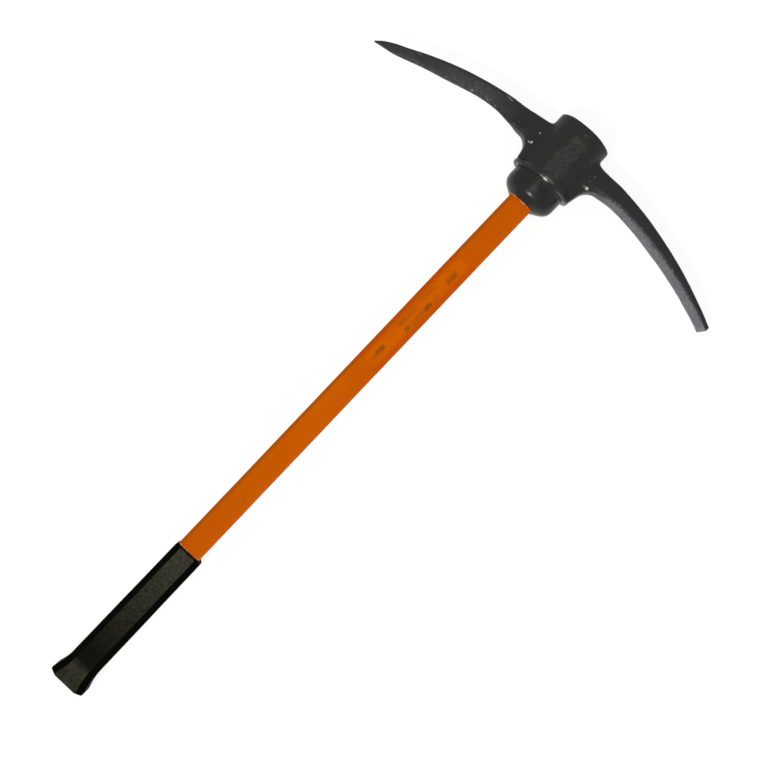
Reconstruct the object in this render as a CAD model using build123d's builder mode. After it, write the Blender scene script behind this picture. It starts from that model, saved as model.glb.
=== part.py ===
from build123d import *

import os
from math import cos, radians, sin

# Double-ended hand pick: a forged head, one point arm and one chisel arm, on a fibreglass handle.
# The tool lies on its side. +X runs along the handle from the butt to the head, the point arm
# reaches towards +Y, the chisel arm towards -Y, and +Z is square to the plane of the head. The
# origin is the centre of the butt's flat end. Sizes are in millimetres.

# ---- overall ----
overall_length = 914.4  # butt face to the middle of the eye's top, 36 inches

# ---- handle: a solid fibreglass core in a moulded jacket ----
handle_width = 32.6
handle_thickness = 27.0
handle_corner = 5.5
jacket_wall = 2.6

# ---- grip sleeve ----
grip_length = 216.0
grip_wall_side = 4.0
grip_wall_front = 3.4
grip_offset = 1.2  # the sleeve sits this far off centre, towards the chisel side
grip_top_inset = 0.7  # the sleeve narrows by this much on each side towards its open end
grip_bevel = 7.4
grip_edge_round = 1.2
grip_butt_wall = 8.0
flare_length = 30.0
flare_side = 4.8  # extra half-width at the butt
flare_front = 4.6  # extra half-thickness at the butt
# outlines of the flare and of its rounded lip, as (share of the length from the butt, share of the growth)
flare_shape = ((1.0, 0.0), (0.8, 0.08), (0.6, 0.26), (0.4, 0.54), (0.22, 0.88), (0.12, 1.0))
lip_shape = ((0.12, 1.0), (0.07, 0.95), (0.03, 0.79), (0.0, 0.4))

# ---- head: eye ----
eye_length = 82.0
eye_half_width = 36.8
eye_half_thickness = 29.8
eye_spread = 1.6  # the barrel is this much wider on each side at its lower end
eye_top_stock = 4.0  # trimmed off by the canted top face
eye_top_round = 1.4
eye_top_cant = 1.2  # degrees: the top face sits higher on the chisel side
rim_cant = 3.4  # degrees: the rim sits higher on the chisel side
rim_half_width = 42.4
rim_offset = 0.6  # the rim sits this far off centre, towards the chisel side
rim_half_thickness = 31.4
rim_height = 7.0
rim_round = 3.2
cavity_half_width = 29.4
cavity_half_thickness = 21.6
cavity_taper = 1.3  # the cavity is this much smaller on each side at its lower mouth
cheek_depth = 1.1
cheek_width = 22.0
cheek_start = 7.5  # above the rim plane
cheek_length = 54.0

# ---- head: arms. Each outer edge is one circular arc, and each station is
# (share of the arm's sweep, depth, width at the outer edge, width at the inner edge): share 0 is
# inside the eye, share 1 is the tip ----
point_reach = 265.5
point_arc_radius = 482.0
point_arc_offset = 14.0  # the arc's crown stands this far from the handle's axis
point_crown_drop = 22.4  # the crown lies this far below the eye's top
point_stations = (
    (0.03, 33.0, 27.0, 26.0),
    (0.12, 30.6, 26.0, 24.0),
    (0.20, 26.8, 24.5, 19.5),
    (0.30, 21.6, 23.0, 15.0),
    (0.40, 18.2, 22.0, 12.5),
    (0.52, 17.3, 20.5, 11.0),
    (0.64, 16.4, 18.5, 9.5),
    (0.77, 13.2, 14.5, 7.5),
    (0.87, 10.4, 11.0, 6.0),
    (0.95, 6.2, 6.6, 4.0),
    (1.00, 1.8, 2.0, 1.6),
)
chisel_reach = 268.0
chisel_arc_radius = 553.0
chisel_arc_offset = 30.0
chisel_crown_drop = 17.4
chisel_stations = (  # the last one is past the tip, where the edge is cut square
    (0.02, 30.0, 28.0, 27.0),
    (0.11, 27.2, 30.0, 29.0),
    (0.23, 20.2, 34.5, 33.5),
    (0.35, 17.2, 37.0, 36.0),
    (0.47, 14.5, 38.0, 37.0),
    (0.62, 11.2, 38.0, 37.0),
    (0.78, 8.2, 38.0, 37.0),
    (0.92, 5.9, 38.0, 37.0),
    (1.03, 4.0, 37.0, 36.5),
)
arm_edge_round = 3.2
arm_edge_share = 0.22  # the round is never more than this share of the section

# ---- head: webs that carry the arms down onto the rim ----
web_thickness = 27.0
point_web_half_width = 42.6
point_web_radius = 18.5
point_web_height = 10.2  # straight part above the rim plane
chisel_web_half_width = 44.6
chisel_web_radius = 21.0
chisel_web_height = 17.0
shoulder_thickness = 24.0
point_shoulder_rise = 2.6  # above the arm's outer edge, where it meets the barrel
point_shoulder_run = 30.0
chisel_shoulder_rise = 2.0
chisel_shoulder_run = 5.0
web_root = 0.55  # share of the half-width where a web starts inside the barrel
web_foot = 0.97  # share of the rim's half-width that a web's foot reaches
web_depth = 12.0  # how far a web runs up into its arm
web_run_out = 14.0  # the web fades into the arm over this length
web_run_out_rise = 4.0
shoulder_depth = 6.0  # how far a shoulder reaches down into its arm

# ---- collar, dam and bond ----
collar_half_width = 35.2
collar_offset = 0.6  # the collar sits this far off centre, towards the chisel side
collar_half_thickness = 27.4
collar_height = 33.0
collar_shoulder = 16.0
collar_shape = ((0.0, 0.0), (0.2, 0.35), (0.35, 0.59), (0.5, 0.76), (0.7, 0.91), (1.0, 1.0))
collar_lip = 3.2  # material left around the handle at the collar's lower edge
collar_spigot = 9.0
spigot_gap = 0.2
dam_height = 6.0
core_top_gap = 6.0  # core end below the eye's top
bond_top_gap = 2.0  # resin surface below the eye's top

# ---- label ----
label_length = 167.0
label_width = 20.0
label_film = 0.2
label_corner = 2.0
label_below_collar = 100.0

# ---- derived places along X ----
eye_top = overall_length
rim_plane = eye_top - eye_length
collar_bottom = rim_plane - collar_height
collar_top = rim_plane + collar_spigot
dam_top = collar_top + dam_height
core_width = handle_width - 2 * jacket_wall
core_thickness = handle_thickness - 2 * jacket_wall
core_corner = handle_corner - jacket_wall


def canted_plane(x, cant):
    """Plane across the handle at x, leaning so that its chisel side is the higher one."""
    tilt = radians(cant)
    return Plane(origin=(x, 0, 0), x_dir=(-sin(tilt), cos(tilt), 0), z_dir=(cos(tilt), sin(tilt), 0))


canted_rim = canted_plane(rim_plane, rim_cant)
canted_top = canted_plane(eye_top, eye_top_cant)


def arm_section_plane(side, crown_x, offset, radius, sweep, share, depth):
    """Plane square to an arm's outer arc, centred in the arm's depth at a share of its sweep."""
    angle = radians(sweep * share)
    across = (cos(angle), side * sin(angle), 0)
    middle = radius - depth / 2
    origin = (
        crown_x - radius + middle * across[0],
        side * offset + middle * across[1],
        0,
    )
    return Plane(origin=origin, x_dir=across, z_dir=(-across[1] * side, across[0] * side, 0))


def arc_sweep(reach, offset, radius):
    """Angle in degrees from the crown of an arm's outer arc to its tip."""
    from_crown = (reach - offset) / radius
    return Vector(1, 0).get_angle(Vector((1 - from_crown**2) ** 0.5, from_crown))


def edge_round(depth, width):
    """Corner radius of an arm section, smaller where the arm is thin."""
    return min(arm_edge_round, arm_edge_share * min(depth, width))


# ---- core rod ----
with BuildPart() as core_rod:
    with BuildSketch(Plane.YZ.offset(grip_butt_wall)):
        RectangleRounded(core_width, core_thickness, core_corner)
    extrude(amount=eye_top - core_top_gap - grip_butt_wall)

# ---- handle jacket ----
with BuildPart() as handle_jacket:
    with BuildSketch(Plane.YZ.offset(grip_butt_wall)):
        RectangleRounded(handle_width, handle_thickness, handle_corner)
        RectangleRounded(core_width, core_thickness, core_corner, mode=Mode.SUBTRACT)
    extrude(amount=collar_top - grip_butt_wall)

# ---- grip sleeve ----
grip_width = handle_width + 2 * grip_wall_side
grip_thickness = handle_thickness + 2 * grip_wall_front


def grip_section(extra_side, extra_front):
    """Bevelled rectangle, grown by the given amounts on each side."""
    with Locations((-grip_offset, 0)):
        Rectangle(grip_width + 2 * extra_side, grip_thickness + 2 * extra_front)
    chamfer(vertices(), length=grip_bevel)
    fillet(vertices(), radius=grip_edge_round)


with BuildPart() as grip_sleeve:
    with BuildSketch(Plane.YZ.offset(flare_length)):
        grip_section(0, 0)
    with BuildSketch(Plane.YZ.offset(grip_length)):
        grip_section(-grip_top_inset, -grip_top_inset)
    loft()
    for outline, straight in ((flare_shape, False), (lip_shape, True)):
        for share, growth in outline:
            with BuildSketch(Plane.YZ.offset(flare_length * share)):
                grip_section(flare_side * growth, flare_front * growth)
        loft(ruled=straight)
    with BuildSketch(Plane.YZ.offset(grip_butt_wall)):
        RectangleRounded(handle_width, handle_thickness, handle_corner)
    extrude(amount=grip_length, mode=Mode.SUBTRACT)

# ---- eye cavity, the space inside the head ----
with BuildPart() as eye_cavity:
    with BuildSketch(Plane.YZ.offset(rim_plane - rim_height)):
        Ellipse(cavity_half_width - cavity_taper, cavity_half_thickness - cavity_taper)
    with BuildSketch(Plane.YZ.offset(eye_top + eye_top_stock)):
        Ellipse(cavity_half_width, cavity_half_thickness)
    loft()

# ---- collar under the head ----
lip_half_width = handle_width / 2 + collar_lip
lip_half_thickness = handle_thickness / 2 + collar_lip

with BuildPart() as head_collar:
    for rise, growth in collar_shape:
        with BuildSketch(Plane.YZ.offset(collar_bottom + collar_shoulder * rise)):
            with Locations((-collar_offset * growth, 0)):
                Ellipse(
                    lip_half_width + (collar_half_width - lip_half_width) * growth,
                    lip_half_thickness + (collar_half_thickness - lip_half_thickness) * growth,
                )
    loft()
    with BuildSketch(Plane.YZ.offset(collar_bottom + collar_shoulder)):
        with Locations((-collar_offset, 0)):
            Ellipse(collar_half_width, collar_half_thickness)
    extrude(amount=collar_height)
    split(bisect_by=canted_rim, keep=Keep.BOTTOM)
    with BuildSketch(Plane.YZ.offset(rim_plane - rim_height / 2)):
        Ellipse(
            cavity_half_width - cavity_taper - spigot_gap,
            cavity_half_thickness - cavity_taper - spigot_gap,
        )
    extrude(amount=rim_height / 2 + collar_spigot)
    with BuildSketch(Plane.YZ.offset(collar_bottom)):
        RectangleRounded(handle_width, handle_thickness, handle_corner)
    extrude(amount=collar_height + collar_spigot, mode=Mode.SUBTRACT)

# ---- dam ring that closes the eye under the resin ----
with BuildPart() as dam_ring:
    add(eye_cavity.part)
    split(bisect_by=Plane.YZ.offset(collar_top), keep=Keep.TOP)
    split(bisect_by=Plane.YZ.offset(dam_top), keep=Keep.BOTTOM)
    with BuildSketch(Plane.YZ.offset(collar_top)):
        RectangleRounded(core_width, core_thickness, core_corner)
    extrude(amount=dam_height, mode=Mode.SUBTRACT)

# ---- resin that bonds the core into the eye ----
with BuildPart() as eye_epoxy:
    add(eye_cavity.part)
    split(bisect_by=Plane.YZ.offset(dam_top), keep=Keep.TOP)
    split(bisect_by=Plane.YZ.offset(eye_top - bond_top_gap), keep=Keep.BOTTOM)
    with BuildSketch(Plane.YZ.offset(dam_top)):
        RectangleRounded(core_width, core_thickness, core_corner)
    extrude(amount=eye_top - core_top_gap - dam_top, mode=Mode.SUBTRACT)


def build_arm(side, reach, offset, radius, crown_x, stations):
    """Lofts one arm along its outer arc. side is +1 towards +Y, -1 towards -Y."""
    sweep = arc_sweep(reach, offset, radius)
    with BuildPart() as arm:
        for share, depth, outer_width, inner_width in stations:
            plane = arm_section_plane(side, crown_x, offset, radius, sweep, share, depth)
            with BuildSketch(plane):
                Polygon(
                    (depth / 2, -outer_width / 2),
                    (depth / 2, outer_width / 2),
                    (-depth / 2, inner_width / 2),
                    (-depth / 2, -inner_width / 2),
                    align=None,
                )
                fillet(vertices(), radius=edge_round(depth, inner_width))
        loft()
        split(bisect_by=Plane.XZ.offset(-side * reach), keep=Keep.BOTTOM if side < 0 else Keep.TOP)
    return arm.part


def build_web(side, half_width, web_radius, straight_height):
    """Web in the plane of the head, from the rim up to the underside of one arm."""
    foot = rim_plane + rim_height / 2
    arc_start = rim_plane + straight_height
    arc_end = arc_start + web_radius
    with BuildPart() as web:
        with BuildSketch(Plane.XY):
            with BuildLine():
                Polyline(
                    (arc_end, side * (half_width + web_radius)),
                    (arc_end + web_run_out_rise, side * (half_width + web_radius + web_run_out)),
                    (arc_end + web_depth, side * (half_width + web_radius)),
                    (arc_end + web_depth, side * half_width * web_root),
                    (foot, side * half_width * web_root),
                    (foot, side * rim_half_width * web_foot),
                    (arc_start, side * half_width),
                )
                TangentArc(
                    (arc_start, side * half_width),
                    (arc_end, side * (half_width + web_radius)),
                    tangent=(1, 0),
                )
            make_face()
        extrude(amount=web_thickness / 2, both=True)
    return web.part


def build_shoulder(side, crown_x, offset, radius, rise, run):
    """Small ramp from an arm's outer edge up to the barrel."""
    end_y = eye_half_width + run
    end_x = crown_x - radius + (radius**2 - (end_y - offset) ** 2) ** 0.5
    with BuildPart() as shoulder:
        with BuildSketch(Plane.XY):
            with BuildLine():
                Polyline(
                    (end_x, side * end_y),
                    (end_x - shoulder_depth, side * end_y),
                    (end_x - shoulder_depth, side * eye_half_width * web_root),
                    (crown_x + rise, side * eye_half_width * web_root),
                    (crown_x + rise, side * eye_half_width),
                )
                Line((crown_x + rise, side * eye_half_width), (end_x, side * end_y))
            make_face()
        extrude(amount=shoulder_thickness / 2, both=True)
    return shoulder.part


# ---- pick head ----
point_crown = eye_top - point_crown_drop
chisel_crown = eye_top - chisel_crown_drop
point_arm = build_arm(1, point_reach, point_arc_offset, point_arc_radius, point_crown, point_stations)
chisel_arm = build_arm(-1, chisel_reach, chisel_arc_offset, chisel_arc_radius, chisel_crown, chisel_stations)
point_shoulder = build_shoulder(
    1, point_crown, point_arc_offset, point_arc_radius, point_shoulder_rise, point_shoulder_run
)
chisel_shoulder = build_shoulder(
    -1, chisel_crown, chisel_arc_offset, chisel_arc_radius, chisel_shoulder_rise, chisel_shoulder_run
)
point_web = build_web(1, point_web_half_width, point_web_radius, point_web_height)
chisel_web = build_web(-1, chisel_web_half_width, chisel_web_radius, chisel_web_height)

with BuildPart() as pick_head:
    with BuildSketch(canted_rim):
        with Locations((-rim_offset, 0)):
            Ellipse(rim_half_width, rim_half_thickness)
    extrude(amount=rim_height)
    fillet(edges(), radius=rim_round)
    with BuildSketch(Plane.YZ.offset(rim_plane + rim_height / 2)):
        Ellipse(eye_half_width + eye_spread, eye_half_thickness)
    with BuildSketch(Plane.YZ.offset(eye_top + eye_top_stock)):
        Ellipse(eye_half_width, eye_half_thickness)
    loft()
    split(bisect_by=canted_top, keep=Keep.BOTTOM)
    fillet(faces().sort_by(Axis.X)[-1].edges(), radius=eye_top_round)
    for z_side in (1, -1):
        with BuildSketch(Plane.XY.offset(z_side * (eye_half_thickness - cheek_depth))):
            with Locations((rim_plane + cheek_start + cheek_length / 2, 0)):
                Rectangle(cheek_length, cheek_width)
        extrude(amount=z_side * rim_half_thickness, mode=Mode.SUBTRACT)
    add(point_arm)
    add(chisel_arm)
    add(point_web)
    add(chisel_web)
    add(point_shoulder)
    add(chisel_shoulder)
    add(eye_cavity.part, mode=Mode.SUBTRACT)

# ---- label ----
label_end = collar_bottom - label_below_collar
with BuildPart() as handle_label:
    with BuildSketch(Plane.XY.offset(handle_thickness / 2)):
        with Locations((label_end - label_length / 2, 0)):
            RectangleRounded(label_length, label_width, label_corner)
    extrude(amount=label_film)

pieces = {
    "pick_head": pick_head,
    "eye_epoxy": eye_epoxy,
    "dam_ring": dam_ring,
    "head_collar": head_collar,
    "core_rod": core_rod,
    "handle_jacket": handle_jacket,
    "handle_label": handle_label,
    "grip_sleeve": grip_sleeve,
}

os.makedirs("parts", exist_ok=True)
for name, piece in pieces.items():
    piece.part.label = name
    export_step(piece.part, f"parts/{name}.step")
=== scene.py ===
"""Double-ended hand pick: detailed pieces, materials, floor, light and camera round the CAD frame."""
from math import cos, pi, radians, sin, tan

import bpy
import numpy as np
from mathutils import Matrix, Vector, noise


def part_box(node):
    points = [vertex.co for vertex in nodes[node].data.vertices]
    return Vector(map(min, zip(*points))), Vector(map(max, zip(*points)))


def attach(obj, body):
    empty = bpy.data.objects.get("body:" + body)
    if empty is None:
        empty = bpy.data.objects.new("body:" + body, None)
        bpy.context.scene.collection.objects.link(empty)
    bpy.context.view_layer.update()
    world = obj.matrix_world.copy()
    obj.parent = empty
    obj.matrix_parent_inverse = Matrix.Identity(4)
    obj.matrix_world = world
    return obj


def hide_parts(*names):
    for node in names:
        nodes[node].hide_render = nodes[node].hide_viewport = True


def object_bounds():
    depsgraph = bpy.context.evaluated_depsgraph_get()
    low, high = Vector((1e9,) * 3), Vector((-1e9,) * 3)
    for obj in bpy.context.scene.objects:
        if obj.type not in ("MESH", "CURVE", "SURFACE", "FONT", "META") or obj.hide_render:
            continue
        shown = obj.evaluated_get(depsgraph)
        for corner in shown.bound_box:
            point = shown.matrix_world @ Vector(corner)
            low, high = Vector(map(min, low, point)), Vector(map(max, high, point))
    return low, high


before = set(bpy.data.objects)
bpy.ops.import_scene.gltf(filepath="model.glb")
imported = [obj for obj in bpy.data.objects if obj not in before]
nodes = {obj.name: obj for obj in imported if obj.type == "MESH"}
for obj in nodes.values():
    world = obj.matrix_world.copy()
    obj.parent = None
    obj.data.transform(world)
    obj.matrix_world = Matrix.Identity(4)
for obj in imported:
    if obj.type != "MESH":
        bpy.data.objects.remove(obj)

MM = 0.001
cad_low, cad_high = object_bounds()


# ---------------------------------------------------------------- mesh helpers
def new_object(name, mesh):
    """Links a mesh to the scene as a new object."""
    made = bpy.data.objects.new(name, mesh)
    bpy.context.scene.collection.objects.link(made)
    return made


def finish_piece(piece, material, slot, *replaced):
    """Gives a piece its material and its body, and hides the CAD nodes that it stands for. The slot argument
    is not used.
    """
    piece.data.materials.clear()
    piece.data.materials.append(material)
    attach(piece, "root")
    if replaced:
        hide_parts(*replaced)


def rounded_outline(corners, radius, arc_steps, side_steps=1):
    """Closed outline of a convex polygon with rounded corners, as pairs of coordinates."""
    corners = [Vector(corner) for corner in corners]
    arcs = []
    for index, corner in enumerate(corners):
        back = (corners[index - 1] - corner).normalized()
        ahead = (corners[(index + 1) % len(corners)] - corner).normalized()
        half = back.angle(ahead) / 2
        centre = corner + (back + ahead).normalized() * (radius / sin(half))
        first = corner + back * (radius / tan(half)) - centre
        last = corner + ahead * (radius / tan(half)) - centre
        arcs.append([centre + first.slerp(last, step / arc_steps) * radius for step in range(arc_steps + 1)])
    outline = []
    for index, arc in enumerate(arcs):
        outline.extend(arc)
        start, end = arc[-1], arcs[(index + 1) % len(arcs)][0]
        outline.extend(start.lerp(end, step / side_steps) for step in range(1, side_steps))
    return outline


def bevelled_corners(width, thickness, bevel):
    """Corners of a rectangle with bevelled corners, in order round it."""
    y, z = width / 2, thickness / 2
    return [
        (y, z - bevel), (y - bevel, z), (-y + bevel, z), (-y, z - bevel),
        (-y, -z + bevel), (-y + bevel, -z), (y - bevel, -z), (y, -z + bevel),
    ]


def skin(name, rings, crease=35):
    """Quad mesh through rings of equal length, with a flat cap at each end."""
    count = len(rings[0])
    points = [tuple(point) for ring in rings for point in ring]
    faces = []
    for ring in range(len(rings) - 1):
        low, high = ring * count, (ring + 1) * count
        faces += [(low + i, low + (i + 1) % count, high + (i + 1) % count, high + i) for i in range(count)]
    faces.append(tuple(reversed(range(count))))
    faces.append(tuple(range((len(rings) - 1) * count, len(rings) * count)))
    mesh = bpy.data.meshes.new(name)
    mesh.from_pydata(points, [], faces)
    mesh.validate()
    mesh.polygons.foreach_set("use_smooth", [True] * len(mesh.polygons))
    mesh.set_sharp_from_angle(angle=radians(crease))
    return new_object(name, mesh)


def smoothstep(value, start, end):
    """0 before start, 1 after end, smooth between. Works on arrays."""
    share = np.clip((value - start) / (end - start), 0.0, 1.0)
    return share * share * (3 - 2 * share)


def window(value, start, full, fade, end):
    """0 up to start, 1 from full to fade, 0 from end on. The four places are in millimetres."""
    return smoothstep(value, start * MM, full * MM) * (1 - smoothstep(value, fade * MM, end * MM))


def smooth_curve(shape, share, reach, steps=2):
    """Height of a polyline of (share, height) points, averaged over a reach to each side."""
    shares = [point[0] for point in shape]
    heights = [point[1] for point in shape]
    around = [share + reach * step / steps for step in range(-steps, steps + 1)]
    return sum(float(np.interp(place, shares, heights)) for place in around) / len(around)


def noise_at(points, scale, seed, octaves=3):
    """Fractal noise at each point, about -1 to 1."""
    shift = Vector((seed * 17.3, seed * 5.1, seed * 11.7))
    return np.array([noise.fractal(Vector(p) * scale + shift, 1.0, 2.1, octaves) for p in points])


# ---------------------------------------------------------------- material helpers
class Tree:
    """A material under construction, with short names for the nodes that are used most."""

    def __init__(self, name):
        self.material = bpy.data.materials.new(name)
        self.material.use_nodes = True
        self.nodes = self.material.node_tree.nodes
        self.links = self.material.node_tree.links
        self.shader = self.nodes["Principled BSDF"]
        self.place = self.nodes.new("ShaderNodeTexCoord").outputs["Object"]

    def plug(self, value, socket):
        """Links an output, or sets a plain value."""
        if isinstance(value, bpy.types.NodeSocket):
            self.links.new(value, socket)
        else:
            socket.default_value = value

    def stretched(self, scale):
        """The place, scaled by axis."""
        mapping = self.nodes.new("ShaderNodeMapping")
        self.links.new(self.place, mapping.inputs["Vector"])
        mapping.inputs["Scale"].default_value = scale
        return mapping.outputs["Vector"]

    def noise(self, scale, detail=4.0, roughness=0.55, stretch=None):
        """Fractal noise, 0 to 1, stretched along an axis where asked."""
        node = self.nodes.new("ShaderNodeTexNoise")
        self.links.new(self.stretched(stretch) if stretch else self.place, node.inputs["Vector"])
        node.inputs["Scale"].default_value = scale
        node.inputs["Detail"].default_value = detail
        node.inputs["Roughness"].default_value = roughness
        return node.outputs["Fac"]

    def attribute(self, name):
        """A value stored on the mesh's vertices."""
        node = self.nodes.new("ShaderNodeAttribute")
        node.attribute_name = name
        return node.outputs["Fac"]

    def cells(self, scale):
        """Distance from the nearest of many scattered points."""
        node = self.nodes.new("ShaderNodeTexVoronoi")
        self.links.new(self.place, node.inputs["Vector"])
        node.inputs["Scale"].default_value = scale
        return node.outputs["Distance"]

    def span(self, value, from_low, from_high, to_low=0.0, to_high=1.0):
        """Maps a value from one range to another, clamped."""
        node = self.nodes.new("ShaderNodeMapRange")
        self.plug(value, node.inputs["Value"])
        node.inputs["From Min"].default_value = from_low
        node.inputs["From Max"].default_value = from_high
        node.inputs["To Min"].default_value = to_low
        node.inputs["To Max"].default_value = to_high
        return node.outputs["Result"]

    def maths(self, operation, first, second):
        """One step of arithmetic."""
        node = self.nodes.new("ShaderNodeMath")
        node.operation = operation
        self.plug(first, node.inputs[0])
        self.plug(second, node.inputs[1])
        return node.outputs["Value"]

    def times(self, first, *others):
        """Product of two or more values."""
        for other in others:
            first = self.maths("MULTIPLY", first, other)
        return first

    def size(self, value):
        """A value without its sign."""
        return self.maths("ABSOLUTE", value, 0.0)

    def mix(self, factor, first, second):
        """Blend of two colours."""
        node = self.nodes.new("ShaderNodeMix")
        node.data_type = "RGBA"
        self.plug(factor, node.inputs["Factor"])
        self.plug(first, node.inputs[6])
        self.plug(second, node.inputs[7])
        return node.outputs[2]

    def axis(self, name):
        """One coordinate of the place, X, Y or Z."""
        node = self.nodes.new("ShaderNodeSeparateXYZ")
        self.links.new(self.place, node.inputs["Vector"])
        return node.outputs[name]

    def band(self, value, low, high, soft):
        """1 between low and high, fading over soft at each end."""
        rise = self.span(value, low - soft, low)
        fall = self.span(value, high, high + soft, 1.0, 0.0)
        return self.times(rise, fall)

    def bump(self, height, strength, distance, under=None):
        """Small relief, on top of another where one is given."""
        node = self.nodes.new("ShaderNodeBump")
        node.inputs["Strength"].default_value = strength
        node.inputs["Distance"].default_value = distance
        self.links.new(height, node.inputs["Height"])
        if under is not None:
            self.links.new(under, node.inputs["Normal"])
        return node.outputs["Normal"]

    def done(self, colour, roughness, normal=None, specular=0.5):
        """The finished material."""
        self.plug(colour, self.shader.inputs["Base Color"])
        self.plug(roughness, self.shader.inputs["Roughness"])
        if normal is not None:
            self.links.new(normal, self.shader.inputs["Normal"])
        self.shader.inputs["Specular IOR Level"].default_value = specular
        return self.material


def rgb(red, green, blue):
    return (red, green, blue, 1.0)


def grey(level):
    return rgb(level, level, level)


# ---------------------------------------------------------------- places taken from the CAD boxes
head_low, head_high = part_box("pick_head")
collar_low, collar_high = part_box("head_collar")
jacket_low, jacket_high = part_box("handle_jacket")
grip_low, grip_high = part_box("grip_sleeve")
label_low, label_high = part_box("handle_label")
SPIGOT = 9 * MM  # the collar runs this far up into the eye
rim_x = collar_high.x - SPIGOT
cheek_start = rim_x + 7.5 * MM
cheek_end = cheek_start + 54 * MM
handle_half_y = jacket_high.y
handle_half_z = jacket_high.z


# ---------------------------------------------------------------- head
# lengths in this section's tables and in its calls of window are in millimetres
VOXEL = 0.85 * MM
HEAD_SEED = 3
ARM_START = 42 * MM
# crown arc of each arm: X of its highest point, radius, and how far out that point lies
POINT_ARC = (892 * MM, 482 * MM, 14 * MM)
CHISEL_ARC = (897 * MM, 553 * MM, 30 * MM)
FAIRING = (0.5, -0.52) * 3  # each smoothing step is followed by one that takes its shrinkage back
POINT_LEAN = 0.35  # share of its width that the point arm loses at its inner edge
WEB_REACH = {1: 74 * MM, -1: 56 * MM}  # how far out along +Y and -Y the blend of the roots goes
ROOT_BLEND = 9.0
ARM_BLEND = 4.0
RIM_BLEND = 5.0
LET_OUT = {1: (1.9, 55, 100), -1: (1.3, 110, 165)}  # amount, and the stretch over which it sets in
POINT_BELLY = 2.2
POINT_SPEAR = 1.3
# relief of the forged surface, in millimetres
UNEVENNESS = 0.22
SCALE_MARKS = 0.08
FINE_GRAIN = 0.03
CHEEK_STAMP = 0.12
CHISEL_SCALE = 0.16
CHEEK_HALF_WIDTH = 11


def remeshed(node):
    """Copy of a CAD node's mesh with even, small faces."""
    raw = new_object("raw_copy", nodes[node].data.copy())
    remesh = raw.modifiers.new("skin", "REMESH")
    remesh.mode = "VOXEL"
    remesh.voxel_size = VOXEL
    depsgraph = bpy.context.evaluated_depsgraph_get()
    mesh = bpy.data.meshes.new_from_object(raw.evaluated_get(depsgraph))
    bpy.data.objects.remove(raw)
    return mesh


def mesh_arrays(mesh):
    """The places of a mesh's vertices, its edges, and how many edges meet at each vertex."""
    points = np.empty(len(mesh.vertices) * 3)
    mesh.vertices.foreach_get("co", points)
    points = points.reshape(-1, 3)
    edges = np.empty(len(mesh.edges) * 2, dtype=np.int64)
    mesh.edges.foreach_get("vertices", edges)
    degree = np.maximum(np.bincount(edges, minlength=len(points)), 1)
    return points, edges.reshape(-1, 2), degree


def place_points(mesh, points):
    """Moves a mesh's vertices and returns their new normals."""
    mesh.vertices.foreach_set("co", points.ravel())
    mesh.update()
    normals = np.empty(len(points) * 3)
    mesh.vertices.foreach_get("normal", normals)
    return normals.reshape(-1, 3)


def neighbour_mean(points, edges, degree):
    """Mean of each vertex's neighbours."""
    mean = np.empty_like(points)
    for axis in range(3):
        total = np.bincount(edges[:, 0], points[edges[:, 1], axis], len(points))
        total += np.bincount(edges[:, 1], points[edges[:, 0], axis], len(points))
        mean[:, axis] = total / degree
    return mean


def blend(points, edges, degree, share, length):
    """Smooths the points in place over a length in millimetres, where share is above 0."""
    weight = share[:, None] * 0.5
    for _ in range(int((length * MM / VOXEL) ** 2)):
        points += weight * (neighbour_mean(points, edges, degree) - points)


def ellipse_distance(points, half_y, half_z):
    """Square of the distance from the handle's axis, 1 on an ellipse of the given half sizes."""
    return (points[:, 1] / (half_y * MM)) ** 2 + (points[:, 2] / (half_z * MM)) ** 2


def toward_arc_centre(points, side, arc):
    """Unit vectors in the XY plane from each point to the centre of an arm's crown arc, and distances."""
    crown_x, radius, offset = arc
    inward = np.stack((crown_x - radius - points[:, 0], side * offset - points[:, 1]), axis=1)
    distance = np.linalg.norm(inward, axis=1)
    return inward / distance[:, None], distance


def arm_depth_share(points):
    """How deep each point lies below its arm's crown: 0 on the crown line, 1 on the inner edge."""
    share = np.zeros(len(points))
    for side, arc in ((1, POINT_ARC), (-1, CHISEL_ARC)):
        out = side * points[:, 1]
        below = arc[1] - toward_arc_centre(points, side, arc)[1]
        on_arm = np.flatnonzero(out > ARM_START)
        slice_number = ((out[on_arm] - ARM_START) / (2 * MM)).astype(int)
        deepest = np.zeros(slice_number.max() + 1)
        np.maximum.at(deepest, slice_number, below[on_arm])
        share[on_arm] = np.clip(below[on_arm] / np.maximum(deepest[slice_number], 1 * MM), 0, 1)
    return share


def lean_point_arm(points, depth_share):
    """The point arm's section leans in from its crown, so its inner edge is narrower."""
    y = points[:, 1]
    points[:, 2] *= 1 - POINT_LEAN * depth_share ** 2 * window(y, 44, 90, 115, 185)


def blend_forging(points, edges, degree, depth_share):
    """Fillets where the arms and webs grow out of the eye, on the arms' edges and above the rim."""
    x, y, _ = points.T
    side = np.abs(y)
    outside = smoothstep(ellipse_distance(points, 32, 24), 0.95, 1.05)
    above_rim = x - rim_x
    below_top = x - head_high.x
    past_web = side - np.where(y > 0, WEB_REACH[1], WEB_REACH[-1])
    root = smoothstep(side, 26 * MM, 34 * MM) * (1 - smoothstep(past_web, 0, 20 * MM))
    root *= smoothstep(above_rim, 6 * MM, 14 * MM) * (1 - smoothstep(below_top, -19 * MM, -7 * MM))
    arm_edges = window(side, 60, 80, 215, 245)
    arm_edges *= np.where(y > 0, 0.3 + 0.7 * smoothstep(depth_share, 0.4, 0.8), 0.3)
    rim_foot = window(above_rim, 4.5, 6.5, 15, 20) * (side < 60 * MM)
    for share, length in ((root, ROOT_BLEND), (arm_edges, ARM_BLEND), (rim_foot, RIM_BLEND)):
        blend(points, edges, degree, share * outside, length)


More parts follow.
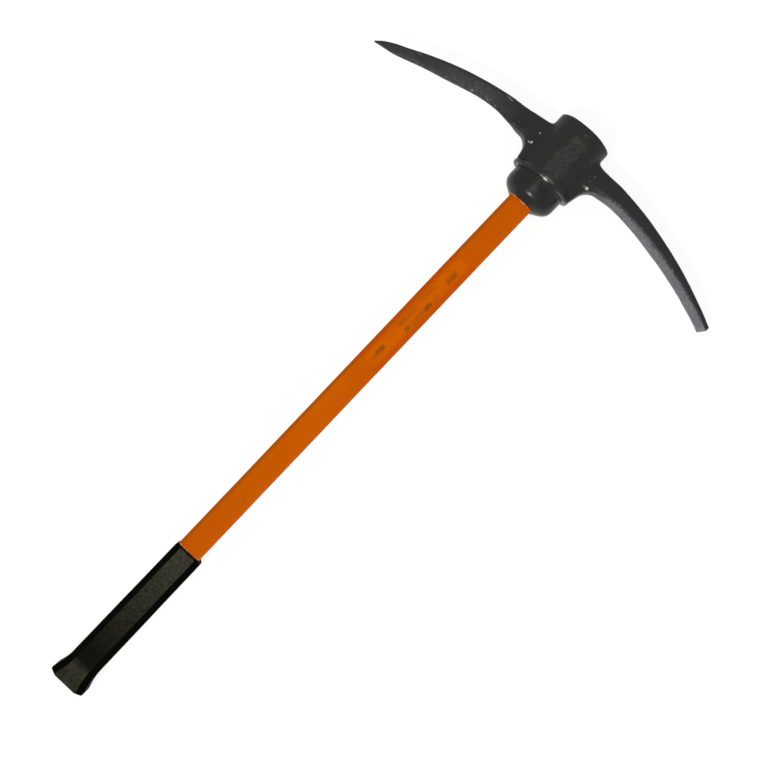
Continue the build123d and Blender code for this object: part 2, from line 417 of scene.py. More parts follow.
def let_out_arms(points, depth_share):
    """Takes the arms' inner edges back out to their forged depth, after the blends drew them in."""
    for side, arc in ((1, POINT_ARC), (-1, CHISEL_ARC)):
        amount, start, full = LET_OUT[side]
        out = side * points[:, 1]
        shift = amount * depth_share * window(out, start, full, 228, 258)
        if side > 0:
            shift += POINT_BELLY * depth_share ** 2 * window(out, 52, 68, 76, 98)
            shift -= POINT_SPEAR * (1 - depth_share) * window(out, 226, 244, 256, 266)
        inward = toward_arc_centre(points, side, arc)[0]
        points[:, :2] += inward * shift[:, None] * MM


def sheen_scale_and_wear(points, normals, depth_share, grain):
    """Shares, by vertex, of the painted floor reflection with its scale grain inside each arm, and of the
    pale chips and painted glints on the arms' edges.
    """
    y = points[:, 1]
    inwards = -normals[:, 0] + 0.25 * np.sign(y) * normals[:, 1]
    # painted reflection of the floor: faces turned in towards the handle made lighter, with a scale grain
    chisel_sheen_and_scale = smoothstep(-y, 52 * MM, 92 * MM) * smoothstep(inwards + 0.3 * grain, 0.36, 0.68)
    point_sheen_and_scale = smoothstep(inwards + 0.6 * depth_share + 0.2 * grain, 0.0, 1.0)
    point_sheen_and_scale *= smoothstep(y, 88 * MM, 130 * MM) * (1 - 0.9 * smoothstep(y, 165 * MM, 215 * MM))
    facing = smoothstep(np.abs(normals[:, 2]), 0.25, 0.5)
    # pale paint chips and painted glints along the arms' edges
    inner_edge = smoothstep(depth_share, 0.66, 0.82)
    crown_edge = 0.8 * (1 - smoothstep(depth_share, 0.05, 0.16))
    chisel_edge = smoothstep(inwards, 0.2, 0.35) * (1 - smoothstep(inwards, 0.6, 0.8))
    edge_chips_and_glints = np.where(y > 0, (inner_edge + crown_edge) * facing, chisel_edge)
    edge_chips_and_glints *= window(np.abs(y), 60, 75, 205, 232)
    return {"chisel_sheen_and_scale": chisel_sheen_and_scale, "point_sheen_and_scale": point_sheen_and_scale, "edge_chips_and_glints": edge_chips_and_glints}


def forged_relief(points, chisel_sheen_and_scale, grain):
    """Height of the forged surface: broad unevenness, scale marks, and a stamped flat on each cheek."""
    x, y, z = points.T
    side = np.abs(y)
    bore = (1 - smoothstep(ellipse_distance(points, 31, 23.2), 0.93, 1.0)) * (side < 32 * MM)
    broad = noise_at(points, 42, HEAD_SEED)
    marks = noise_at(points, 170, HEAD_SEED + 1)
    fine = noise_at(points, 620, HEAD_SEED + 2, 2)
    cheek = 1 - smoothstep(side, (CHEEK_HALF_WIDTH - 1) * MM, (CHEEK_HALF_WIDTH + 1) * MM)
    cheek *= smoothstep(x, cheek_start - 1 * MM, cheek_start + 1 * MM)
    cheek *= 1 - smoothstep(x, cheek_end - 2 * MM, cheek_end)
    cheek *= smoothstep(np.abs(z), 25 * MM, 27 * MM)
    relief = UNEVENNESS * broad + FINE_GRAIN * fine
    relief += SCALE_MARKS * marks * (0.6 + 0.6 * smoothstep(side, 60 * MM, 90 * MM))
    relief += CHEEK_STAMP * cheek * (marks + fine) + CHISEL_SCALE * chisel_sheen_and_scale * grain
    return relief * (1 - bore) * MM


def forged_head():
    """The head as one forging: the CAD solid reskinned, with blended roots and a forged surface."""
    mesh = remeshed("pick_head")
    points, edges, degree = mesh_arrays(mesh)
    for factor in FAIRING:
        points += factor * (neighbour_mean(points, edges, degree) - points)
    depth_share = arm_depth_share(points)
    lean_point_arm(points, depth_share)
    blend_forging(points, edges, degree, depth_share)
    let_out_arms(points, depth_share)
    normals = place_points(mesh, points)
    grain = noise_at(points, 430, HEAD_SEED + 3, 2)
    shares = sheen_scale_and_wear(points, normals, depth_share, grain)
    points += normals * forged_relief(points, shares["chisel_sheen_and_scale"], grain)[:, None]
    place_points(mesh, np.clip(points, np.array(head_low), np.array(head_high)))
    mesh.polygons.foreach_set("use_smooth", [True] * len(mesh.polygons))
    for name, values in shares.items():
        mesh.attributes.new(name, "FLOAT", "POINT").data.foreach_set("value", values)
    mesh.update()
    mesh.name = "forged_head"
    return new_object("forged_head", mesh)


# painted highlights, glints of the light drawn as pale spots on the rim, the arms' roots, the eye's top and
# the arms' edges: distance above the rim plane, Y, half height and half width of each spot in millimetres,
# and how strong its glint is
PAINTED_GLINTS = (
    (32.6, -46.2, 2.2, 2.3, 1.0),
    (32.0, -43.0, 2.0, 3.0, 0.14),
    (26.8, 40.6, 2.2, 1.5, 0.9),
    (25.2, 43.6, 1.1, 1.3, 0.8),
    (42.0, 40.6, 1.1, 1.1, 0.7),
    (72.8, -2.3, 1.4, 1.6, 0.10),
    (1.6, -2.4, 1.6, 3.8, 1.0),
    (1.6, -0.8, 1.3, 9.0, 0.22),
    (4.4, -6.8, 1.8, 9.0, 0.16),
    (1.6, -28.0, 1.2, 8.0, 0.14),
    (2.6, 27.0, 1.2, 6.0, 0.06),
    (49.0, -44.0, 1.6, 2.0, 0.08),
    (41.0, -43.0, 1.4, 1.6, 0.08),
    (48.4, 96.0, 1.1, 6.5, 0.24),
    (13.3, 213.3, 0.8, 4.0, 0.15),
    (25.4, 136.9, 1.2, 1.2, 0.5),
    (30.0, 115.0, 1.0, 1.2, 0.2),
    (31.0, 103.6, 1.0, 1.5, 0.2),
)
# pale grey of the painted highlights
GLINT_GREY = rgb(0.62, 0.61, 0.58)
RIM_TOP = (rim_x + 5 * MM, rim_x + 9 * MM)  # where the rim's lighter colour and its gloss fade out


def cheek_share(tree, x, y, z):
    """1 on the rough flat of each cheek, with a ragged edge along each side."""
    ragged = tree.maths("ADD", y, tree.span(tree.noise(130, 3, 0.7), 0.3, 0.7, -5 * MM, 5 * MM))
    across = tree.band(ragged, -11.5 * MM, 6.5 * MM, 3 * MM)
    along = tree.band(x, cheek_start - 3 * MM, cheek_end + 1 * MM, 5 * MM)
    return tree.times(across, along, tree.span(tree.size(z), 24 * MM, 27 * MM))


def paint_colour(tree, x, cheek, cloud):
    """Black paint, a little lighter on the rim, dusty in patches and speckled on the cheeks."""
    colour = tree.mix(tree.span(cloud, 0.35, 0.7), grey(0.0208), rgb(0.0244, 0.0244, 0.0238))
    colour = tree.mix(tree.span(x, *RIM_TOP, 0.6, 0.0), colour, grey(0.030))
    speck = tree.span(tree.noise(620, 3, 0.7), 0.58, 0.72)
    dusty = tree.times(speck, tree.span(tree.noise(60, 2), 0.42, 0.65), 0.25)
    colour = tree.mix(dusty, colour, rgb(0.10, 0.098, 0.092))
    worn = tree.times(cheek, tree.span(tree.noise(360, 4, 0.75), 0.40, 0.62), 0.55)
    return tree.mix(worn, colour, rgb(0.072, 0.071, 0.064))


def with_sheen_scale_and_chips(tree, y, colour):
    """Adds lighter grey inside both arms, a painted reflection of the floor with a scale grain, duller
    patches on the point arm, and pale chips and painted glints on the edges.
    """
    grain = tree.span(tree.noise(330, 4, 0.8), 0.40, 0.60)
    # painted reflection of the floor on the chisel arm's inner faces, with a scale grain
    sheened_scale = tree.times(tree.attribute("chisel_sheen_and_scale"), grain)
    colour = tree.mix(sheened_scale, colour, rgb(0.136, 0.136, 0.151))
    mottle = tree.span(tree.noise(150, 5, 0.7), 0.35, 0.68, 0.15, 1.0)
    # painted reflection of the floor on the point arm, lighter towards its inner edge, mottled
    mottled_sheen = tree.times(tree.attribute("point_sheen_and_scale"), mottle)
    colour = tree.mix(mottled_sheen, colour, rgb(0.100, 0.100, 0.110))
    patch = tree.span(tree.noise(115, 5, 0.75), 0.36, 0.64, 0.0, 0.8)
    patch = tree.times(tree.span(y, 98 * MM, 128 * MM), patch)
    colour = tree.mix(patch, colour, rgb(0.038, 0.038, 0.0395))
    # pale paint chips and painted glints along the arms' edges
    chips_and_glints = tree.span(tree.noise(210, 4, 0.75), 0.57, 0.66)
    chips_and_glints = tree.times(tree.attribute("edge_chips_and_glints"), chips_and_glints, 0.44)
    return tree.mix(chips_and_glints, colour, rgb(0.30, 0.30, 0.31))


def with_painted_glints(tree, x, y, colour):
    """Adds the painted highlights, each a ragged ellipse of pale grey."""
    ragged = tree.span(tree.noise(600, 2), 0.3, 0.7, -0.3, 0.3)
    for height, across, half_height, half_width, glint_strength in PAINTED_GLINTS:
        away_x = tree.maths("DIVIDE", tree.maths("SUBTRACT", x, rim_x + height * MM), half_height * MM)
        away_y = tree.maths("DIVIDE", tree.maths("SUBTRACT", y, across * MM), half_width * MM)
        away = tree.maths("ADD", tree.times(away_x, away_x), tree.times(away_y, away_y))
        glint = tree.span(tree.maths("ADD", away, ragged), 0.3, 1.0, glint_strength, 0.0)
        colour = tree.mix(glint, colour, GLINT_GREY)
    return colour


def paint_material():
    """Black forge paint over steel: uneven gloss, a rough cheek, a painted reflection of the floor inside
    the arms, and painted highlights and chips as pale marks.
    """
    tree = Tree("forge_paint")
    x, y, z = tree.axis("X"), tree.axis("Y"), tree.axis("Z")
    cloud = tree.noise(38, 5)
    cheek = cheek_share(tree, x, y, z)
    colour = paint_colour(tree, x, cheek, cloud)
    colour = with_sheen_scale_and_chips(tree, y, colour)
    # painted highlights, as pale spots
    colour = with_painted_glints(tree, x, y, colour)
    rough = tree.span(cloud, 0.3, 0.75, 0.36, 0.5)
    rough = tree.maths("ADD", rough, tree.times(cheek, 0.10))
    rough = tree.maths("ADD", rough, tree.span(y, 60 * MM, 100 * MM, 0.0, 0.18))
    rough = tree.maths("SUBTRACT", rough, tree.span(x, *RIM_TOP, 0.22, 0.0))
    normal = tree.bump(tree.noise(900, 3, 0.6), 0.35, 0.12 * MM)
    normal = tree.bump(tree.noise(240, 4, 0.6), 0.35, 0.35 * MM, normal)
    return tree.done(colour, rough, normal, specular=0.22)


head = forged_head()
finish_piece(head, paint_material(), "forged_steel", "pick_head")


# ---------------------------------------------------------------- collar
COLLAR_SHIFT = -0.6 * MM
COLLAR_HALF_Y = 35.2 * MM
COLLAR_HALF_Z = 27.4 * MM
COLLAR_LIP = 3.2 * MM
COLLAR_MOUTH = 0.4 * MM
COLLAR_SHOULDER = 17 * MM
COLLAR_RISE = 2.12  # height of the collar under the rim, in shoulders
FRONT_LAG = 0.77  # the front and back reach their full size this much later than the sides
COLLAR_SHAPE = ((0.0, 0.0), (0.2, 0.40), (0.35, 0.64), (0.5, 0.80), (0.7, 0.93), (1.0, 1.0))
COLLAR_STEPS = 46
SEAM_Y = -2.0 * MM
SEAM_HALF_WIDTH = 1.1 * MM
SEAM_HEIGHT = 0.16 * MM
COLLAR_SAG = 0.12 * MM


def ellipse_ring(x, half_y, half_z, shift_y, count=144):
    turns = [2 * pi * i / count for i in range(count)]
    return [(x, shift_y + half_y * cos(turn), half_z * sin(turn)) for turn in turns]


def moulded_collar():
    """Rubber collar: a rounded shoulder, a straight skirt and a small mould seam on each side."""
    lip_y, lip_z = handle_half_y + COLLAR_LIP, handle_half_z + COLLAR_LIP
    foot = collar_low.x + 0.25 * MM
    rings = [
        ellipse_ring(collar_low.x + 0.6 * MM, handle_half_y + COLLAR_MOUTH, handle_half_z + COLLAR_MOUTH, 0),
        ellipse_ring(collar_low.x + 0.125 * MM, lip_y - 1.8 * MM, lip_z - 1.8 * MM, 0),
    ]
    for step in range(COLLAR_STEPS + 1):
        rise = COLLAR_RISE * step / COLLAR_STEPS
        side_growth = smooth_curve(COLLAR_SHAPE, min(rise, 1.0), 0.06)
        front_growth = smooth_curve(COLLAR_SHAPE, min(FRONT_LAG * rise, 1.0), 0.06)
        half_y = lip_y + (COLLAR_HALF_Y - lip_y) * side_growth
        half_z = lip_z + (COLLAR_HALF_Z - lip_z) * front_growth
        rings.append(ellipse_ring(foot + COLLAR_SHOULDER * rise, half_y, half_z, COLLAR_SHIFT * side_growth))
    piece = skin("moulded_collar", rings, crease=50)
    for vertex in piece.data.vertices:
        point = vertex.co
        seam = max(0.0, 1 - abs(point.y - SEAM_Y) / SEAM_HALF_WIDTH)
        on_skirt = min(1.0, max(0.0, (point.x - collar_low.x - 9 * MM) / (6 * MM)))
        sag = COLLAR_SAG * (noise.noise(point * 55) - 1)
        outwards = Vector((0, point.y, point.z)).normalized()
        vertex.co = point + outwards * (sag + SEAM_HEIGHT * seam * on_skirt)
    return piece


def collar_material():
    """Black rubber, dusty in patches, painted lighter at its top under the rim against the rim's shade, with
    a paler streak down the front of the skirt.
    """
    tree = Tree("collar_rubber")
    x, y, z = tree.axis("X"), tree.axis("Y"), tree.axis("Z")
    cloud = tree.noise(70, 4)
    colour = tree.mix(tree.span(cloud, 0.35, 0.7), grey(0.0125), rgb(0.0170, 0.0170, 0.0165))
    dust = tree.times(tree.span(tree.noise(700, 3, 0.7), 0.58, 0.75), 0.35)
    colour = tree.mix(dust, colour, rgb(0.06, 0.06, 0.056))
    seam = tree.band(y, -0.6 * MM, 2.8 * MM, 1.2 * MM)
    on_skirt = tree.span(x, collar_low.x + 13 * MM, collar_low.x + 16 * MM)
    on_face = tree.span(z, 20 * MM, 24 * MM)
    broken = tree.span(tree.noise(300, 4, 0.7), 0.35, 0.6, 0.3, 0.8)
    colour = tree.mix(tree.times(seam, on_skirt, on_face, broken), colour, rgb(0.048, 0.048, 0.044))
    # painted light: the top of the collar under the rim is lightened against the shade that the rim casts
    # there
    painted_light_under_rim = tree.span(x, rim_x - 4 * MM, rim_x - 0.5 * MM, 0.0, 0.55)
    colour = tree.mix(painted_light_under_rim, colour, rgb(0.045, 0.045, 0.044))
    rough = tree.span(tree.noise(120, 3), 0.3, 0.7, 0.20, 0.28)
    normal = tree.bump(tree.noise(1400, 2, 0.6), 0.25, 0.05 * MM)
    return tree.done(colour, rough, normal, specular=0.3)


finish_piece(moulded_collar(), collar_material(), "collar_rubber", "head_collar")


# ---------------------------------------------------------------- handle jacket
JACKET_BEVEL = 4.6 * MM
JACKET_ROUND = 3.4 * MM
JACKET_STATIONS = 260
LONG_WAVE = 0.16 * MM
SHORT_WAVE = 0.05 * MM
WAVE_ROOM = 0.06 * MM
LEFT_BEVEL = (11.2 * MM, 12.8 * MM)
LIT_RIGHT_EDGE = (-13.6 * MM, -12.4 * MM)
BESIDE_LABEL = (8 * MM, 11 * MM)
GRIME = rgb(0.30, 0.075, 0.004)
SHADED_ORANGE = rgb(0.33, 0.085, 0.004)
# colour of the painted highlight along the right edge
LIT_EDGE_ORANGE = rgb(0.74, 0.123, 0.0010)
RED_ORANGE = rgb(0.62, 0.077, 0.0003)
PALE_JUNCTION_COLOUR = rgb(0.80, 0.66, 0.42)
PLASTIC_SPECULAR = 0.008


def handle_outline():
    corners = bevelled_corners(2 * handle_half_y, 2 * handle_half_z, JACKET_BEVEL)
    return rounded_outline(corners, JACKET_ROUND, 5, 5)


def jacket():
    """Moulded jacket of the handle, with the slight waviness of a long moulding."""
    outline = handle_outline()
    rings = []
    for station in range(JACKET_STATIONS + 1):
        x = jacket_low.x + (jacket_high.x - jacket_low.x) * station / JACKET_STATIONS
        ring = []
        for y, z in outline:
            wave = noise.noise(Vector((x * 9, y * 60, z * 60))) * LONG_WAVE
            wave += noise.noise(Vector((x * 45, y * 90, z * 90 + 7))) * SHORT_WAVE
            shrink = 1 - max(WAVE_ROOM - wave, 0.0) / handle_half_y
            ring.append((x, y * shrink, z * shrink))
        rings.append(ring)
    return skin("jacket", rings, crease=60)


def pale_junction_lines(tree, x):
    """Broken pale line where the jacket meets the grip and the collar."""
    at_grip = tree.band(x, grip_high.x, grip_high.x + 1.0 * MM, 0.6 * MM)
    at_collar = tree.band(x, collar_low.x - 0.9 * MM, collar_low.x, 0.5 * MM)
    broken = tree.span(tree.noise(170, 3, 0.7), 0.45, 0.58, 0.0, 0.7)
    return tree.times(tree.maths("ADD", at_grip, at_collar), broken)


def jacket_material():
    """Orange plastic: streaked along its length, grimy in spots, with painted shade on the left bevel and a
    painted highlight along the right edge.
    """
    tree = Tree("orange_jacket")
    x, y = tree.axis("X"), tree.axis("Y")
    streak = tree.noise(30, 4, 0.6, stretch=(0.12, 1.0, 1.0))
    colour = tree.mix(tree.span(streak, 0.32, 0.7), rgb(0.60, 0.102, 0.0002), rgb(0.70, 0.130, 0.0003))
    colour = tree.mix(tree.span(tree.noise(16, 4), 0.45, 0.75, 0.0, 0.5), colour, rgb(0.66, 0.096, 0.0002))
    grime = tree.times(tree.span(tree.noise(95, 5, 0.7), 0.6, 0.78), 0.3)
    colour = tree.mix(grime, colour, GRIME)
    shaded = tree.times(tree.span(y, *LEFT_BEVEL, 0.0, 0.62), tree.span(streak, 0.3, 0.7, 0.7, 1.0))
    colour = tree.mix(shaded, colour, SHADED_ORANGE)
    # painted highlight: the right edge made lighter orange
    colour = tree.mix(tree.span(y, *LIT_RIGHT_EDGE, 0.5, 0.0), colour, LIT_EDGE_ORANGE)
    beside_label = tree.times(tree.band(x, label_low.x, label_high.x, 6 * MM),
                              tree.span(tree.size(y), *BESIDE_LABEL), 0.45)
    colour = tree.mix(beside_label, colour, RED_ORANGE)
    colour = tree.mix(pale_junction_lines(tree, x), colour, PALE_JUNCTION_COLOUR)
    rough = tree.span(tree.noise(60, 4), 0.3, 0.7, 0.40, 0.56)
    threads = tree.noise(420, 3, 0.6, stretch=(0.03, 1.0, 1.0))
    normal = tree.bump(threads, 0.25, 0.08 * MM)
    normal = tree.bump(tree.noise(900, 2), 0.2, 0.05 * MM, normal)
    return tree.done(colour, rough, normal, specular=PLASTIC_SPECULAR)


finish_piece(jacket(), jacket_material(), "orange_jacket", "handle_jacket")


# ---------------------------------------------------------------- label
# worn print, as (start, end) along the label from its butt end and (low, high) across it, in
# millimetres, and how dark the print still is
PRINT_BARS = (
    (132.2, 150.8, -6.0, -1.4, 0.85),
    (134.6, 152.3, -1.0, 2.4, 0.45),
    (101.0, 119.0, 2.8, 8.0, 0.45),
    (106.8, 117.1, -9.2, -3.6, 0.45),
    (64.0, 92.0, -8.6, -2.6, 0.55),
    (91.0, 103.3, -8.2, -3.0, 1.0),
    (57.0, 65.0, -8.4, -3.0, 0.85),
    (56.0, 87.0, 1.2, 7.9, 0.5),
    (37.0, 45.4, 0.4, 8.4, 0.35),
    (13.0, 27.0, -2.6, 3.2, 0.85),
    (5.9, 15.0, -4.2, 2.2, 0.5),
)
FILM_TOP = handle_half_z + 0.06 * MM
SLAB_DEPTH = 0.5 * MM  # the film and the print reach this far down into the jacket
FILM_CORNER = 2 * MM
BAR_CORNER = 1.2 * MM
INK_HEIGHT = 0.04 * MM  # of the darkest print, above the film
INK = rgb(0.27, 0.065, 0.008)


def slab(name, low, high, top, depth, corner, rows):
    """Thin flat plate with rounded corners, between two (x, y) corners."""
    middle, half = (high + low) / 2, (high - low) / 2
    corners = [(half.x, half.y), (-half.x, half.y), (-half.x, -half.y), (half.x, -half.y)]
    outline = rounded_outline(corners, corner, 6, rows)
    return skin(name, [[(middle.x + a, middle.y + b, z) for a, b in outline] for z in (top - depth, top)])


def ink_material(name, darkness):
    """Brown print, worn through in patches so that the film's orange shows."""
    tree = Tree(name)
    cloud = tree.span(tree.noise(30, 4, 0.6), 0.3, 0.7)
    film = tree.mix(cloud, rgb(0.70, 0.123, 0.0002), rgb(0.78, 0.152, 0.0003))
    worn = tree.span(tree.noise(420, 4, 0.75), 0.34, 0.62, 0.35, 1.0)
    threshold = 0.42 - 0.2 * darkness
    patch = tree.span(tree.noise(120, 4, 0.7), threshold, threshold + 0.16)
    colour = tree.mix(tree.times(worn, patch, darkness), film, INK)
    rough = tree.span(tree.noise(200, 3), 0.3, 0.7, 0.42, 0.6)
    normal = tree.bump(tree.noise(700, 3), 0.2, 0.04 * MM)
    return tree.done(colour, rough, normal, specular=PLASTIC_SPECULAR)


def film_material():
    """Orange film, stained in spots and redder towards its long edges."""
    tree = Tree("label_film")
    cloud = tree.noise(34, 4, 0.6, stretch=(0.3, 1.0, 1.0))
    colour = tree.mix(tree.span(cloud, 0.32, 0.7), rgb(0.70, 0.126, 0.0002), rgb(0.80, 0.157, 0.0003))
    edge = tree.span(tree.size(tree.axis("Y")), 5 * MM, 9.5 * MM)
    colour = tree.mix(tree.times(edge, 0.6), colour, rgb(0.66, 0.098, 0.0003))
    stain = tree.times(tree.span(tree.noise(120, 5, 0.7), 0.57, 0.74), 0.4)
    colour = tree.mix(stain, colour, rgb(0.42, 0.08, 0.004))
    rough = tree.span(tree.noise(90, 4), 0.3, 0.7, 0.36, 0.52)
    normal = tree.bump(tree.noise(800, 3), 0.2, 0.04 * MM)
    return tree.done(colour, rough, normal, specular=PLASTIC_SPECULAR)


def print_bars():
    """The worn print, one plain bar for each line that can still be made out."""
    inks = {}
    for number, (start, end, low, high, darkness) in enumerate(PRINT_BARS):
        if darkness not in inks:
            inks[darkness] = ink_material(f"worn_print_{int(100 * darkness)}", darkness)
        near = Vector((label_low.x + start * MM, low * MM))
        far = Vector((label_low.x + end * MM, high * MM))
        top = FILM_TOP + INK_HEIGHT * darkness
        bar = slab(f"print_bar_{number}", near, far, top, SLAB_DEPTH, BAR_CORNER, 8)
        finish_piece(bar, inks[darkness], "label_film")


film = slab("label_sheet", label_low.xy, label_high.xy, FILM_TOP, SLAB_DEPTH, FILM_CORNER, 24)
finish_piece(film, film_material(), "label_film", "handle_label")
print_bars()


# ---------------------------------------------------------------- grip
GRIP_WIDTH = 40.6 * MM
GRIP_THICKNESS = 33.8 * MM
GRIP_BEVEL = 7.9 * MM
GRIP_SHIFT = -1.2 * MM
GRIP_EDGE = 2.4 * MM
GRIP_TAPER = 0.7 * MM
GRIP_WAVE = 0.10 * MM
LIP_INSET = 0.8 * MM
LIP_ROUND = 2.3 * MM
LIP_DIP = 2.4 * MM  # the lip is this much lower at the sleeve's sides than at its front
MOUTH_INSET = 3.6 * MM
FLARE_LENGTH = 30 * MM
FLARE_SIDE = 4.8 * MM
FLARE_FRONT = 4.6 * MM
FLARE_ROLL = 0.16  # below this share of the flare's length, its end is rolled in
FLARE_SHAPE = (
    (0.0, 0.4), (0.02, 0.75), (0.05, 0.93), (0.12, 1.0), (0.22, 0.88),
    (0.4, 0.54), (0.6, 0.26), (0.8, 0.08), (1.0, 0.0),
)
# distances from the butt, in millimetres, at which the sleeve gets a ring: close at the butt's roll
BUTT_STATIONS = (0.0, 0.15, 0.4, 0.8, 1.3, 2.0, 2.8, 3.6)
FLARE_STEP = 0.8
FLARE_STEPS = 40
BODY_STEP = 2.0


def flare_growth(x):
    """Share of the flare's growth at a distance from the butt."""
    share = x / FLARE_LENGTH
    return smooth_curve(FLARE_SHAPE, share, 0.08 if share > FLARE_ROLL else 0.0)


def grip_ring(x, extra_side, extra_front, bevel=GRIP_BEVEL, shift=GRIP_SHIFT):
    corners = bevelled_corners(GRIP_WIDTH + 2 * extra_side, GRIP_THICKNESS + 2 * extra_front, bevel)
    return [(x, y + shift, z) for y, z in rounded_outline(corners, GRIP_EDGE, 6, 5)]


def grip_stations():
    """Distances from the butt of all the rings below the lip, in metres."""
    flare_start = BUTT_STATIONS[-1] + FLARE_STEP
    body_start = flare_start + FLARE_STEP * FLARE_STEPS
    body_steps = 1 + int((grip_high.x / MM - 5.0 - body_start) / BODY_STEP)
    stations = list(BUTT_STATIONS)
    stations += [flare_start + FLARE_STEP * step for step in range(FLARE_STEPS)]
    stations += [body_start + BODY_STEP * step for step in range(body_steps)]
    return [station * MM for station in stations]


def grip():
    """Rubber sleeve: bevelled body, flared butt, rounded lips at both ends."""
    top = grip_high.x
    rings = []
    for x in grip_stations():
        growth = flare_growth(x) if x < FLARE_LENGTH else 0.0
        taper = GRIP_TAPER * smoothstep(x, FLARE_LENGTH, top) + GRIP_WAVE
        wave = noise.noise(Vector((x * 18, 0.3, 0.7))) * GRIP_WAVE
        rings.append(grip_ring(x, FLARE_SIDE * growth - taper + wave, FLARE_FRONT * growth - taper))
    last = rings[-1][0][0]
    for turn in (0.2, 0.4, 0.6, 0.8, 1.0):
        angle = turn * pi / 2
        round_in = LIP_ROUND * (1 - cos(angle))
        inset = LIP_INSET + round_in
        bevel = GRIP_BEVEL - 0.9 * round_in
        shift = GRIP_SHIFT + 0.45 * round_in
        ring = grip_ring(last + (top - last) * sin(angle), -inset, -inset, bevel, shift)
        dip = LIP_DIP * turn
        rings.append([(x - dip * smoothstep(abs(y), 15 * MM, 18 * MM), y, z) for x, y, z in ring])
    rings.append(grip_ring(top - 2.6 * MM, -MOUTH_INSET, -MOUTH_INSET, GRIP_BEVEL - 2.6 * MM, 0.0))
    return skin("grip_sleeve_skin", rings, crease=48)


def grip_material():
    """Black rubber, olive grey on its flat faces, partly scuffing and partly a painted sheen of the light
    overhead, lighter towards the top and with a painted highlight on the flare.
    """
    tree = Tree("grip_rubber")
    x = tree.axis("X")
    black = tree.span(tree.noise(48, 4), 0.3, 0.7)
    colour = tree.mix(black, rgb(0.0008, 0.0008, 0.0005), rgb(0.0015, 0.0015, 0.0010))
    facing = tree.nodes.new("ShaderNodeSeparateXYZ")
    geometry = tree.nodes.new("ShaderNodeNewGeometry")
    tree.links.new(geometry.outputs["Normal"], facing.inputs["Vector"])
    # painted sheen mixed with scuffing: the flat front and back faces made olive grey
    flat_face = tree.span(tree.size(facing.outputs["Z"]), 0.86, 0.99)
    lighter_towards_top = tree.span(x, 50 * MM, 210 * MM, 0.12, 1.1)
    # painted highlight on the flare, where its face curves outward
    painted_flare_highlight = tree.span(x, 24 * MM, 34 * MM, 0.75, 0.0)
    cloud = tree.span(tree.noise(260, 4, 0.65), 0.35, 0.7, 0.4, 1.0)
    scuff_and_sheen = tree.times(flat_face, cloud, tree.maths("ADD", lighter_towards_top, painted_flare_highlight))
    colour = tree.mix(scuff_and_sheen, colour, rgb(0.066, 0.067, 0.044))
    rough = tree.span(tree.noise(90, 4), 0.3, 0.7, 0.42, 0.54)
    normal = tree.bump(tree.noise(1100, 3, 0.6), 0.35, 0.08 * MM)
    normal = tree.bump(tree.noise(200, 3), 0.2, 0.15 * MM, normal)
    return tree.done(colour, rough, normal, specular=0.012)


finish_piece(grip(), grip_material(), "grip_rubber", "grip_sleeve")


# ---------------------------------------------------------------- core, dam ring and resin
def core_material():
    """Pale glass strands along the handle, set in resin."""
    tree = Tree("fibreglass_core")
    strand = tree.noise(900, 3, 0.6, stretch=(0.02, 1.0, 1.0))
    colour = tree.mix(tree.span(strand, 0.35, 0.65), rgb(0.42, 0.36, 0.22), rgb(0.62, 0.56, 0.38))
    normal = tree.bump(strand, 0.4, 0.1 * MM)
    return tree.done(colour, tree.span(strand, 0.3, 0.7, 0.45, 0.65), normal, specular=0.4)


def resin_material():
    """Dark poured resin with pits from burst bubbles."""
    tree = Tree("eye_resin")
    cloud = tree.noise(80, 4)
    colour = tree.mix(tree.span(cloud, 0.35, 0.7), rgb(0.028, 0.021, 0.012), rgb(0.055, 0.040, 0.022))
    normal = tree.bump(tree.span(tree.cells(260), 0.05, 0.16), 0.6, 0.3 * MM)
    normal = tree.bump(tree.noise(150, 3), 0.4, 0.4 * MM, normal)
    return tree.done(colour, tree.span(cloud, 0.3, 0.7, 0.22, 0.38), normal, specular=0.5)


def dam_material():
    tree = Tree("dam_rubber")
    colour = tree.mix(tree.noise(120, 3), grey(0.012), grey(0.028))
    rough = tree.span(tree.noise(90, 3), 0.3, 0.7, 0.55, 0.75)
    normal = tree.bump(tree.noise(700, 2), 0.3, 0.1 * MM)
    return tree.done(colour, rough, normal, specular=0.4)


def wear(node, material):
    """Puts a material on a CAD node that stays visible."""
    data = nodes[node].data
    data.materials.clear()
    data.materials.append(material)


wear("core_rod", core_material())
wear("eye_epoxy", resin_material())
wear("dam_ring", dam_material())


# ---------------------------------------------------------------- floor, light, camera
FLOOR_HALF_SIZE = 9.0
FLOOR_CELLS = 8
FLOOR_GAP = 0.3 * MM
FLOOR_GLOW = 0.84  # keeps the floor white in the picture, as under a light tent
TIP_X = 0.843
TIP_HALF_THICKNESS = 19 * MM
SUN_DIRECTION = (-0.60, 0.0, 0.80)
SOFTBOX_PLACE = (0.56, 0.0, 2.6)
SKY_STRENGTH = 0.55
# the camera stands square above the tool, a little towards the head, and turned so that
# the handle rises to the upper right at 46.5 degrees
CAMERA_HEIGHT = 1.207
CAMERA_SHIFT = Vector((0.068, -0.0301))
CAMERA_TURN = -46.456
CAMERA_LENS = 46.42
SENSOR_WIDTH = 36.0


def floor_material():
    tree = Tree("pale_floor")
    tree.shader.inputs["Emission Color"].default_value = grey(1.0)
    tree.shader.inputs["Emission Strength"].default_value = FLOOR_GLOW
    tone = tree.mix(tree.noise(3, 3), grey(0.25), grey(0.27))
    return tree.done(tone, 0.9, specular=0.1)


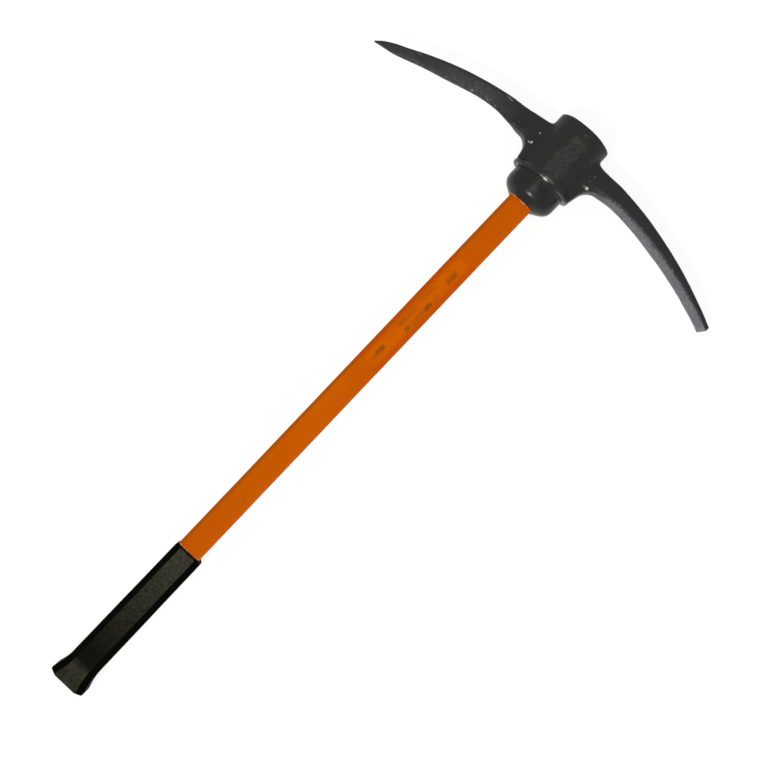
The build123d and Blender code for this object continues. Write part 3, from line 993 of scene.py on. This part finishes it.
def floor_plane():
    """The floor that the tool lies on: it touches the rim, the butt and the chisel arm's tip."""
    rim = Vector((rim_x, 0.0, head_low.z))
    butt = Vector((0.12 * FLARE_LENGTH, 0.0, grip_low.z))
    tip = Vector((TIP_X, head_low.y, -TIP_HALF_THICKNESS))
    normal = (rim - butt).cross(tip - butt).normalized()
    normal *= 1 if normal.z > 0 else -1
    rotation = normal.to_track_quat("Z", "Y").to_matrix()
    centre = rim - normal * FLOOR_GAP
    offsets = [FLOOR_HALF_SIZE * (2 * i / FLOOR_CELLS - 1) for i in range(FLOOR_CELLS + 1)]
    spots = [Vector((across, along, 0)) for along in offsets for across in offsets]
    points = [tuple(centre + rotation @ spot) for spot in spots]
    row_length = FLOOR_CELLS + 1
    faces = []
    for row in range(FLOOR_CELLS):
        for first in range(row * row_length, row * row_length + FLOOR_CELLS):
            faces.append((first, first + 1, first + row_length + 1, first + row_length))
    mesh = bpy.data.meshes.new("floor")
    mesh.from_pydata(points, [], faces)
    mesh.materials.append(floor_material())
    new_object("floor", mesh)


def sun(name, direction, angle, irradiance):
    """Large, distant soft light from the stated direction."""
    data = bpy.data.lights.new(name, "SUN")
    data.angle = radians(angle)
    data.energy = irradiance
    made = bpy.data.objects.new(name, data)
    made.rotation_euler = Vector(direction).to_track_quat("Z", "Y").to_euler()
    bpy.context.scene.collection.objects.link(made)


def softbox(name, location, size, radiance):
    """Square panel light that faces straight down, of the stated brightness."""
    data = bpy.data.lights.new(name, "AREA")
    data.shape = "SQUARE"
    data.size = size
    data.energy = radiance * pi * size**2
    made = bpy.data.objects.new(name, data)
    made.location = location
    bpy.context.scene.collection.objects.link(made)


def white_sky():
    """Even white light from all round."""
    world = bpy.data.worlds.new("studio")
    world.use_nodes = True
    background = world.node_tree.nodes["Background"]
    background.inputs["Color"].default_value = grey(1.0)
    background.inputs["Strength"].default_value = SKY_STRENGTH
    bpy.context.scene.world = world
    bpy.context.scene.view_settings.view_transform = "Standard"
    bpy.context.scene.view_settings.look = "None"


def top_camera():
    """The camera that looks straight down at the tool."""
    centre = (cad_low + cad_high) / 2
    data = bpy.data.cameras.new("camera")
    data.sensor_width = SENSOR_WIDTH
    data.lens = CAMERA_LENS
    data.clip_end = 50.0
    camera = bpy.data.objects.new("camera", data)
    camera.location = (centre.x + CAMERA_SHIFT.x, centre.y + CAMERA_SHIFT.y, CAMERA_HEIGHT)
    camera.rotation_euler = (0.0, 0.0, radians(CAMERA_TURN))
    bpy.context.scene.collection.objects.link(camera)
    bpy.context.scene.camera = camera


floor_plane()
sun("key", SUN_DIRECTION, 5, 0.9)
softbox("overhead", SOFTBOX_PLACE, 1.1, 0.9)
white_sky()
top_camera()
